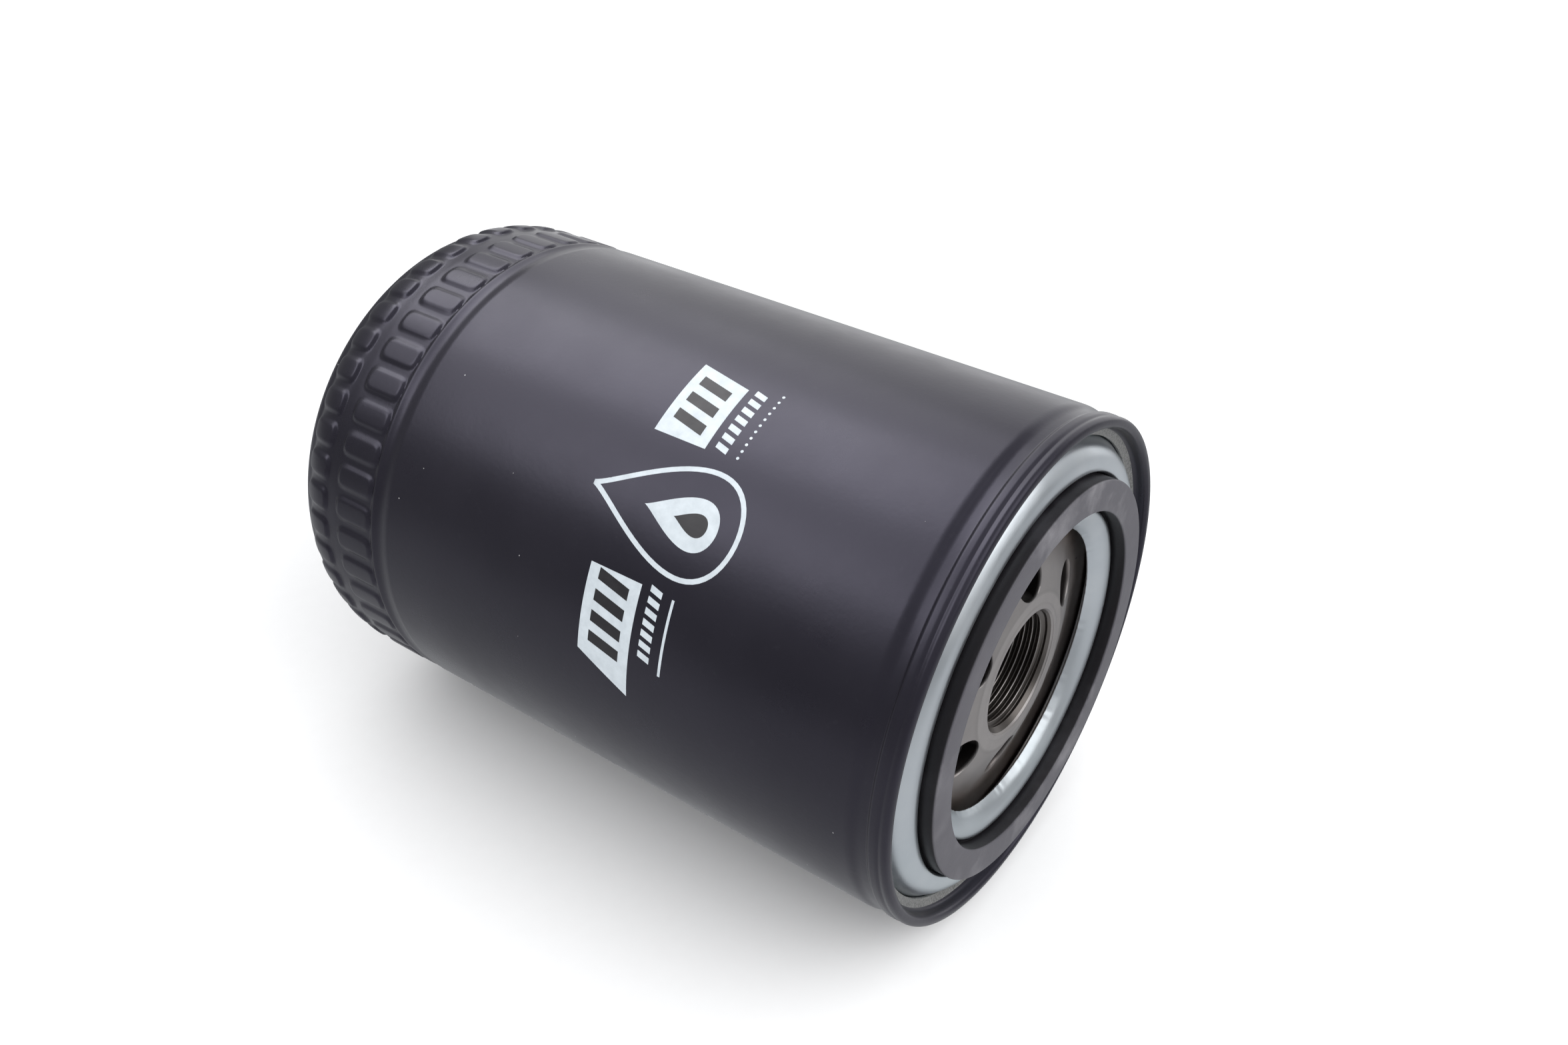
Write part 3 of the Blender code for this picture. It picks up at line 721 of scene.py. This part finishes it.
def inlet_cutter():
    """Six punches that lean with the plate's cone and round over the holes' edges."""
    shape = bmesh.new()
    lean = math.atan(CONE_SLOPE)
    depth = CONE_START_DEPTH + (INLET_RING - CONE_START) * CONE_SLOPE
    sides = 56
    flare = ((-3.0, 0.5), (-0.15, 0.5), (0.02, 0.32), (0.12, 0.16), (0.30, 0.05), (0.55, 0.0), (8.0, 0.0))
    for index in range(INLET_COUNT):
        turn = INLET_FIRST + 2.0 * math.pi * index / INLET_COUNT
        outward = outward_at(turn).normalized()
        inward = Vector((-1.0, 0.0, 0.0))
        deep = inward * math.cos(lean) - outward * math.sin(lean)
        slope = outward * math.cos(lean) + inward * math.sin(lean)
        side = deep.cross(slope)
        rings = []
        for level, wider in flare:
            ring = []
            for step in range(sides):
                angle = 2.0 * math.pi * step / sides
                offset = (slope * math.cos(angle) + side * math.sin(angle)) * (INLET_RADIUS + wider)
                ring.append(spot(INLET_RING, depth, turn) + (offset + deep * level) * MM)
            rings.append(ring)
        punch(shape, rings)
    bmesh.ops.recalc_face_normals(shape, faces=shape.faces)
    return link_shape("inlet_cutter", shape)


def carve(piece, cutter, sharp=35.0):
    """Subtract the cutter from the piece for good, and remove the cutter."""
    boolean = piece.modifiers.new("carve", "BOOLEAN")
    boolean.operation = "DIFFERENCE"
    boolean.solver = "EXACT"
    boolean.object = cutter
    bpy.context.view_layer.update()
    graph = bpy.context.evaluated_depsgraph_get()
    mesh = bpy.data.meshes.new_from_object(piece.evaluated_get(graph))
    piece.modifiers.clear()
    piece.data = mesh
    mesh.shade_smooth()
    mesh.set_sharp_from_angle(angle=math.radians(sharp))
    bpy.data.objects.remove(cutter, do_unlink=True)


def plate_shell(steel, thread):
    """Thread plate: raised collar, cut thread, dished ring with six inlets."""
    bore_length = THREAD_END - COLLAR_DEPTH
    bore_rows = int(bore_length / THREAD_ROW)
    bore = [(BORE_RADIUS, THREAD_END - bore_length * index / bore_rows) for index in range(bore_rows + 1)]
    back = PLATE_EDGE_DEPTH + PLATE_THICKNESS
    cone_back = COLLAR_DEPTH + PLATE_THICKNESS
    corners = [
        (COLLAR_RADIUS + 0.05, COLLAR_DEPTH, 0.12), (12.5, COLLAR_DEPTH - 0.02, 0.2),
        (12.9, COLLAR_DEPTH + 0.13, 0.2), (CONE_START, COLLAR_DEPTH + 0.2, 0.8),
        (CONE_END, PLATE_EDGE_DEPTH, 1.6), (PLATE_RADIUS, PLATE_EDGE_DEPTH, 0.4),
        (PLATE_RADIUS, back, 0.4), (CONE_END + 0.7, back, 1.5), (16.2, cone_back + 0.3, 0.8),
        (13.4, cone_back + 1.2, 0.8), (13.4, THREAD_END, 0.4),
        (BORE_RADIUS, THREAD_END, 0.0), (BORE_RADIUS, COLLAR_DEPTH, 0.0),
    ]
    piece = lathe("plate_shell", bore + fillet(corners)[:-2], 240, thread_groove)
    carve(piece, inlet_cutter())
    stand_for(piece, "thread_plate", "housing", (steel, thread))
    mesh = piece.data
    for edge in mesh.edges:
        if max(radius_of(mesh.vertices[end].co) for end in edge.vertices) < COLLAR_RADIUS - 0.3:
            edge.use_edge_sharp = False
    for face in mesh.polygons:
        if radius_of(face.center) < COLLAR_RADIUS - 0.3:
            face.material_index = 1


def valve_skirt(rubber):
    """Anti-drainback valve: hub on the collar, thin skirt and sealing lip."""
    lip, far = depths("anti_drainback_valve")
    corners = [
        (13.8, 13.4, 0.3), (15.0, 13.4, 0.7), (17.5, 12.9, 0.8), (24.2, lip + 0.9, 0.8),
        (25.4, lip, 0.3), (26.2, lip + 0.12, 0.2), (27.0, lip, 0.3), (27.4, lip + 0.8, 0.3),
        (25.2, lip + 1.9, 0.8), (18.0, 14.3, 1.0), (15.4, 15.2, 0.5), (15.4, far, 0.3),
        (13.8, far, 0.3),
    ]
    piece = lathe("valve_skirt", fillet(corners), 192)
    stand_for(piece, "anti_drainback_valve", None, (rubber,))
    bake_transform(piece)


# ---------------------------------------------------------------- element and valves

def cap_shell(name, node, turn, sheet):
    """Pressed end cap with a stiffening bead and two rounded skirts."""
    near, far = depths(node)
    outer = outer_radius(node)
    inner = 15.0
    thin = 0.6
    face, rim = (near, far) if turn > 0 else (far, near)
    back = face + turn * thin
    corners = [
        (inner, face, 0.4), (27.0, face, 0.4), (28.0, face + turn * 0.25, 0.5),
        (29.0, face, 0.4), (outer, face, 0.5), (outer, rim, 0.15), (outer - thin, rim, 0.15),
        (outer - thin, back, 0.3), (inner + thin, back, 0.3), (inner + thin, rim, 0.15),
        (inner, rim, 0.15),
    ]
    turned_shell(name, node, "element", corners, 192, sheet)


def potting_ring(name, node, turn, compound):
    """Plastisol poured into an end cap, with its free side drawn up at both walls."""
    near, far = depths(node)
    outer = outer_radius(node)
    inner = 15.9
    base, free = (near, far) if turn > 0 else (far, near)
    sag = turn * 0.35
    corners = [
        (inner, base, 0.2), (outer, base, 0.2), (outer, free, 0.1), (outer - 1.2, free - sag, 1.0),
        (inner + 1.2, free - sag, 1.0), (inner, free, 0.1),
    ]
    turned_shell(name, node, "element", corners, 192, compound)


def slot_cutter(front, rear):
    """Rounded slots punched in staggered rows through the centre tube."""
    rows = 6
    around = 6
    half_width = 2.4
    half_length = 1.4
    sides = 24
    shape = bmesh.new()
    for row in range(rows):
        depth = front + (rear - front) * (row + 0.5) / rows
        for index in range(around):
            turn = math.pi - 2.0 * math.pi * (index + 0.5 * (row % 2)) / around
            side = outward_at(turn + 0.5 * math.pi)
            rings = []
            for radius in (14.0, 19.0):
                ring = []
                for step in range(sides):
                    angle = 2.0 * math.pi * step / sides
                    shift = half_length if math.sin(angle) > 0.0 else -half_length
                    centre = spot(radius, depth + half_width * math.sin(angle) + shift, turn)
                    ring.append(centre + side * half_width * math.cos(angle))
                rings.append(ring)
            punch(shape, rings)
    bmesh.ops.recalc_face_normals(shape, faces=shape.faces)
    return link_shape("slot_cutter", shape)


def tube_shell(sheet):
    """Perforated centre tube with softened ends."""
    near, far = depths("centre_tube")
    outer = outer_radius("centre_tube")
    inner = outer - 0.7
    corners = [(inner, near, 0.2), (outer, near, 0.2), (outer, far, 0.2), (inner, far, 0.2)]
    piece = lathe("tube_shell", fillet(corners), 144)
    carve(piece, slot_cutter(near, far))
    stand_for(piece, "centre_tube", "element", (sheet,))


def fold_arc(centre_radius, angle, bend, direction, count=6):
    """Points of (radial, tangential, angle) round one fold of the paper."""
    points = []
    for step in range(count + 1):
        turn = math.pi * (step / count - 0.5)
        points.append((centre_radius + direction * bend * math.cos(turn), bend * math.sin(turn), angle))
    return points


def paper_line(inner, outer, pleats):
    """Middle line of the pleated sheet as flat points (across, up), from seam to seam."""
    half_pitch = math.pi / pleats
    start = math.pi
    end_side = 0.35
    line = [(outer, end_side, start)]
    for index in range(1, 2 * pleats):
        angle = start + index * half_pitch
        if index % 2 == 0:
            line += fold_arc(outer - 1.0, angle, 1.0, 1.0)
        else:
            line += fold_arc(inner + 0.45, angle, 0.45, -1.0)
    line.append((outer, -end_side, start))
    flat = []
    for radial, aside, angle in line:
        across = radial * math.sin(angle) + aside * math.cos(angle)
        up = radial * math.cos(angle) - aside * math.sin(angle)
        flat.append(Vector((across, up)))
    return flat


def paper_folds(paper):
    """Pleated paper: one zigzag sheet with rounded folds, open at its seam."""
    near, far = depths("pleated_media")
    outer = outer_radius("pleated_media") - 0.4
    half_sheet = 0.22
    line = paper_line(17.8, outer, 50)
    last = len(line) - 1
    sides = ([], [])
    for index, here in enumerate(line):
        ahead = (line[min(index + 1, last)] - line[max(index - 1, 0)]).normalized()
        aside = Vector((-ahead.y, ahead.x)) * half_sheet
        sides[0].append(here + aside)
        sides[1].append(here - aside)
    points = []
    for depth in (near, far):
        for side in sides:
            for across, up in side:
                points.append(Vector((FACE_X - depth * MM, across * MM, AXIS_Z + up * MM)))
    count = len(line)
    faces = []
    for index in range(last):
        front_left, front_right = index, count + index
        rear_left, rear_right = 2 * count + index, 3 * count + index
        faces.append((front_left, front_left + 1, front_right + 1, front_right))
        faces.append((rear_left, rear_right, rear_right + 1, rear_left + 1))
        faces.append((front_left, rear_left, rear_left + 1, front_left + 1))
        faces.append((front_right, front_right + 1, rear_right + 1, rear_right))
    for index in (0, last):
        faces.append((index, count + index, 3 * count + index, 2 * count + index))
    piece = finish_mesh("paper_folds", points, faces)
    stand_for(piece, "pleated_media", "element", (paper,))


def window_cutter():
    """Four rounded windows through the bypass cage's wall."""
    deep, wide, long = (6.0, 9.0, 8.0)
    shape = bmesh.new()
    for index in range(4):
        turn = math.radians(45.0 + 90.0 * index)
        outward = outward_at(turn)
        side = outward_at(turn + 0.5 * math.pi)
        centre = spot(CAGE_RADIUS, WINDOW_DEPTH, turn)
        for corner in bmesh.ops.create_cube(shape, size=1.0)["verts"]:
            along = Vector((-corner.co.z * long * MM, 0.0, 0.0))
            corner.co = centre + outward * (corner.co.x * deep) + side * (corner.co.y * wide) + along
    ends = [edge for edge in shape.edges if edge.calc_length() < (deep + 0.1) * MM]
    bmesh.ops.bevel(shape, geom=ends, offset=2.0 * MM, segments=6, profile=0.5, affect="EDGES")
    bmesh.ops.recalc_face_normals(shape, faces=shape.faces)
    return link_shape("window_cutter", shape)


def cage_shell(sheet):
    """Drawn cup that guides the bypass disc, with a flange and four windows."""
    near, far = depths("bypass_cage")
    wall = 0.8
    outer = CAGE_RADIUS
    corners = [
        (5.0, near, 0.2), (outer, near, 1.2), (outer, far - wall, 0.4), (14.4, far - wall, 0.2),
        (14.4, far, 0.2), (outer - wall, far, 0.6), (outer - wall, near + wall, 0.7),
        (5.0, near + wall, 0.2),
    ]
    piece = lathe("cage_shell", fillet(corners), 120)
    carve(piece, window_cutter())
    stand_for(piece, "bypass_cage", "element", (sheet,))


def flat_ring(name, node, body, radii, reaches, sides, finish):
    """Flat ring between two radii, its edges softened by a reach at each radius."""
    near, far = depths(node)
    inner, outer = radii
    corners = [
        (inner, near, reaches[0]), (outer, near, reaches[1]), (outer, far, reaches[1]),
        (inner, far, reaches[0]),
    ]
    turned_shell(name, node, body, corners, sides, finish)


def disc_shell(sheet):
    """Bypass disc, pressed with a rounded hub for its spring."""
    near, far = depths("bypass_poppet")
    corners = [
        (0.0, near, 0.0), (5.0, near, 0.6), (5.1, near + 1.3, 0.5), (9.4, near + 1.3, 0.3),
        (9.4, far, 0.3), (0.0, far, 0.0),
    ]
    turned_shell("disc_shell", "bypass_poppet", "bypass_valve", corners, 96, sheet)


def coil(name, node, radii, turns, wire, steel):
    """Coil spring between two bodies, with end turns that lie nearly flat."""
    near, far = depths(node)
    first = far - 0.5 * wire
    last = near + 0.5 * wire
    if radii[0] != radii[1]:
        first, last = last, first
    count = int(turns * 40)
    path = []
    for index in range(count + 1):
        share = index / count
        angle = math.pi - 2.0 * math.pi * turns * share
        rise = share - END_TURN_FLATTENING * math.sin(2.0 * math.pi * share) / (2.0 * math.pi)
        radius = radii[0] + (radii[1] - radii[0]) * share
        path.append(spot(radius, first + (last - first) * rise, angle))
    piece = tube(name, path, 0.5 * wire * MM, 14)
    stand_for(piece, node, None, (steel,))
    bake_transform(piece)


# ---------------------------------------------------------------- printed mark

def on_can(along, up, layer):
    """Point just above the paint or the ink under it, from flat print coordinates."""
    return spot(INK_TOP + 0.02 * layer, MARK_DEPTH + up, MARK_ANGLE + along / CAN_RADIUS)


def print_shapes(name, outlines, material, layer=0):
    """Thin layer of ink for flat outlines of (along, up), wrapped round the can."""
    shape = bmesh.new()
    for outline in outlines:
        shape.faces.new([shape.verts.new((along, up, 0.0)) for along, up in outline])
    bmesh.ops.triangulate(shape, faces=shape.faces)
    reach = int(max(abs(vertex.co.x) for vertex in shape.verts)) + 1
    for place in range(-reach, reach + 1):
        geometry = list(shape.verts) + list(shape.edges) + list(shape.faces)
        bmesh.ops.bisect_plane(shape, geom=geometry, plane_co=(place, 0.0, 0.0), plane_no=(1.0, 0.0, 0.0))
    for vertex in shape.verts:
        vertex.co = on_can(vertex.co.x, vertex.co.y, layer)
    shape.normal_update()
    inward = []
    for face in shape.faces:
        outward = face.calc_center_median() - Vector((0.0, 0.0, AXIS_Z))
        outward.x = 0.0
        if face.normal.dot(outward) < 0.0:
            inward.append(face)
    bmesh.ops.reverse_faces(shape, faces=inward)
    piece = link_shape(name, shape)
    thick = piece.modifiers.new("ink_thickness", "SOLIDIFY")
    thick.thickness = INK_THICKNESS * MM
    thick.offset = -1.0
    piece.data.materials.append(material)
    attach(piece, "housing")


def stroke(points, width):
    """Quads of (along, up) that draw a closed line of this width."""
    count = len(points)
    edges = []
    for index in range(count):
        ahead = Vector(points[(index + 1) % count]) - Vector(points[index - 1])
        aside = Vector((-ahead.y, ahead.x)).normalized() * 0.5 * width
        here = Vector(points[index])
        edges.append((tuple(here + aside), tuple(here - aside)))
    quads = []
    for first, second in zip(edges, edges[1:] + edges[:1]):
        quads.append((first[0], second[0], second[1], first[1]))
    return quads


def drop(width, height, centre, count=64):
    """Outline of an oil drop, tip up."""
    points = []
    for index in range(count):
        turn = 2.0 * math.pi * (index + 0.5) / count
        along = 0.5 * width * 1.25 * math.sin(turn) * math.sin(0.5 * turn) ** 1.5
        points.append((centre[0] + along, centre[1] + 0.5 * height * math.cos(turn)))
    return points


def bar(start, end, low, high, lean):
    """Slanted bar of (along, up) corners; lean shifts its upper edge."""
    return [(start, low), (end, low), (end + lean, high), (start + lean, high)]


def disc(along, up, radius, count=10):
    """Small round dot."""
    turns = [2.0 * math.pi * index / count for index in range(count)]
    return [(along + radius * math.cos(turn), up + radius * math.sin(turn)) for turn in turns]


def row_of_bars(count, first, pitch, width, low, high, lean):
    """Equal slanted bars side by side."""
    starts = [first + pitch * index for index in range(count)]
    return [bar(start, start + width, low, high, lean) for start in starts]


def printed_mark(white, black):
    """Plain mark without lettering: two striped bands, an oil drop, a rule and dots."""
    bands = [
        [(-30.0, 0.0), (-9.4, 0.0), (-9.4, 10.7), (-25.0, 10.7)],
        [(14.6, -0.3), (27.6, -0.3), (29.6, 10.1), (14.6, 10.1)],
    ]
    stripes = row_of_bars(4, -24.2, 3.7, 2.0, 2.1, 8.6, 1.4) + row_of_bars(3, 16.4, 3.7, 2.0, 1.8, 8.3, 1.4)
    ticks = row_of_bars(7, -21.8, 1.9, 1.1, -4.2, -1.8, 0.6) + row_of_bars(7, 15.0, 1.9, 1.1, -4.2, -1.8, 0.6)
    dots = [disc(15.2 + 1.35 * index, -6.5, 0.27) for index in range(11)]
    rule = [bar(-23.0, -9.6, -6.7, -6.2, 0.0)]
    print_shapes("mark_bands", bands, white)
    print_shapes("mark_stripes", stripes, black, 1)
    print_shapes("mark_drop_line", stroke(drop(20.5, 29.0, (2.7, 1.0)), 0.85), white)
    print_shapes("mark_drop_fill", [drop(10.0, 14.5, (2.7, -2.4))], white)
    print_shapes("mark_drop_gleam", [drop(4.4, 6.6, (2.7, -4.4))], black, 1)
    print_shapes("mark_rule_and_dots", rule + dots + ticks, white)


# ---------------------------------------------------------------- stage

def floor():
    """Wide pale table top; reflections look past it at the surround."""
    reach = 6.0
    corners = [(-reach, -reach, 0.0), (reach, -reach, 0.0), (reach, reach, 0.0), (-reach, reach, 0.0)]
    mesh = bpy.data.meshes.new("floor")
    mesh.from_pydata(corners, [], [(0, 1, 2, 3)])
    made = put("floor", mesh)
    made.visible_glossy = False
    surface = Surface("pale_floor", 0.8)
    grain = surface.noise(300.0, 2.0)
    surface.colour(surface.mix(grain, (0.87, 0.87, 0.87), (0.89, 0.89, 0.89)))
    made.data.materials.append(surface.material)


def softbox(name, place, size, radiance, hidden=None):
    """Soft light at a place in metres, turned to the filter; hidden names rays it skips."""
    data = bpy.data.lights.new(name, "AREA")
    data.shape = "RECTANGLE"
    data.size, data.size_y = size
    data.energy = radiance * math.pi * size[0] * size[1]
    made = put(name, data)
    made.location = place
    away = Vector(place) - Vector((0.0, 0.0, AXIS_Z))
    made.rotation_euler = away.to_track_quat("Z", "Y").to_euler()
    made.visible_camera = False
    made.visible_diffuse = hidden != "diffuse"
    made.visible_glossy = hidden != "glossy"
    return made


def sky():
    """Even overcast light for the floor, which reflections do not see."""
    data = bpy.data.lights.new("sky", "SUN")
    data.energy = 2.5
    data.angle = math.radians(150.0)
    put("sky", data).visible_glossy = False


def surround():
    """White to the camera; to the light it is mid grey below, dim at the horizon, bright above."""
    world = bpy.data.worlds.new("studio")
    world.use_nodes = True
    tree = world.node_tree
    background = tree.nodes["Background"]
    background.inputs[0].default_value = (0.95, 0.97, 1.0, 1.0)
    direction = tree.nodes.new("ShaderNodeTexCoord")
    axes = tree.nodes.new("ShaderNodeSeparateXYZ")
    tree.links.new(direction.outputs["Generated"], axes.inputs[0])
    glow = tree.nodes.new("ShaderNodeMath")
    glow.operation = "MAXIMUM"
    for index, numbers in enumerate(((0.15, 0.95, 0.24, 0.50), (-0.05, -0.30, 0.24, 0.55))):
        part = tree.nodes.new("ShaderNodeMapRange")
        for key, number in enumerate(numbers, 1):
            part.inputs[key].default_value = number
        tree.links.new(axes.outputs[2], part.inputs[0])
        tree.links.new(part.outputs[0], glow.inputs[index])
    seen = tree.nodes.new("ShaderNodeLightPath")
    pale = tree.nodes.new("ShaderNodeMix")
    pale.inputs[3].default_value = 1.06
    tree.links.new(seen.outputs["Is Camera Ray"], pale.inputs[0])
    tree.links.new(glow.outputs[0], pale.inputs[2])
    tree.links.new(pale.outputs[0], background.inputs[1])
    bpy.context.scene.world = world


def light_the_scene():
    """Softboxes for the reflections, even light for the rest, and the surround."""
    strip = softbox("overhead_strip", (-0.60, 0.05, 1.02), (0.80, 2.3), 1.65, "diffuse")
    strip.rotation_euler = (0.0, math.radians(-30.0), 0.0)
    key = softbox("overhead_key", (-0.55, 0.16, 0.96), (0.75, 0.62), 2.1, "diffuse")
    key.rotation_euler = (math.radians(-8.0), math.radians(-30.0), 0.0)
    softbox("left", (-0.68, -0.87, 0.98), (0.70, 0.70), 0.95, "diffuse")
    softbox("backdrop", (-0.45, 1.55, 0.30), (2.4, 1.5), 0.85, "diffuse")
    softbox("side", (0.95, 0.30, 0.95), (1.2, 1.2), 1.2)
    softbox("fill", (0.60, -0.15, 0.45), (0.6, 0.6), 1.8, "glossy")
    sky()
    surround()


def camera():
    """Camera above the open end's near side, without roll or shift."""
    data = bpy.data.cameras.new("camera")
    data.sensor_width = 36.0
    data.lens = 32.81
    data.clip_start = 0.01
    azimuth = math.radians(35.62)
    elevation = math.radians(35.95)
    distance = 0.27963
    aim = Vector((0.00819, 0.01185, AXIS_Z))
    away = Vector((
        math.cos(elevation) * math.sin(azimuth),
        -math.cos(elevation) * math.cos(azimuth),
        math.sin(elevation),
    ))
    made = put("camera", data)
    made.location = aim + away * distance
    made.rotation_euler = away.to_track_quat("Z", "Y").to_euler()
    bpy.context.scene.camera = made


# ---------------------------------------------------------------- assembly

def keep_node(node, material):
    """Give a carried-over CAD piece its detailed material."""
    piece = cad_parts[node]
    piece.data.materials.clear()
    piece.data.materials.append(material)


def build():
    """Make every piece, the light and the camera."""
    paint = satin_paint()
    zinc = zinc_plating()
    steel = plate_steel()
    rubber = gasket_rubber()
    soft_rubber = valve_rubber()
    sheet = tinned_sheet()
    wire = spring_steel()
    paper = filter_paper()
    compound = plastisol()
    white = ink("white_ink", (0.58, 0.635, 0.675), (0.49, 0.54, 0.58))
    black = ink("black_ink", (0.012, 0.011, 0.014), (0.018, 0.017, 0.020))

    can_shell(paint, raw_edge_steel())
    lid_shell(zinc)
    gasket_ring(rubber)
    plate_shell(steel, thread_steel())
    valve_skirt(soft_rubber)
    cap_shell("front_cap_shell", "front_end_cap", 1.0, sheet)
    cap_shell("rear_cap_shell", "rear_end_cap", -1.0, sheet)
    potting_ring("front_potting_ring", "front_potting", 1.0, compound)
    potting_ring("rear_potting_ring", "rear_potting", -1.0, compound)
    tube_shell(sheet)
    paper_folds(paper)
    flat_ring("seat_shell", "bypass_seat", "element", (7.0, 14.6), (0.5, 0.3), 120, sheet)
    cage_shell(sheet)
    disc_shell(sheet)
    radii, reaches = (4.0, 9.4), (0.3, 0.3)
    flat_ring("washer_shell", "bypass_seal", "bypass_valve", radii, reaches, 96, soft_rubber)
    radii, reaches = (15.5, 23.0), (0.25, 0.25)
    flat_ring("spring_seat_shell", "spring_seat", "element", radii, reaches, 144, sheet)
    coil("hold_down_coil", "hold_down_spring", HOLD_DOWN_RADII, HOLD_DOWN_TURNS, HOLD_DOWN_WIRE, wire)
    coil("bypass_coil", "bypass_spring", BYPASS_RADII, BYPASS_TURNS, BYPASS_WIRE, wire)
    keep_node("pleat_seam_clip", sheet)
    keep_node("seam_sealant", compound)
    printed_mark(white, black)
    floor()
    light_the_scene()
    camera()
    bpy.context.scene.view_settings.view_transform = "Standard"


build()
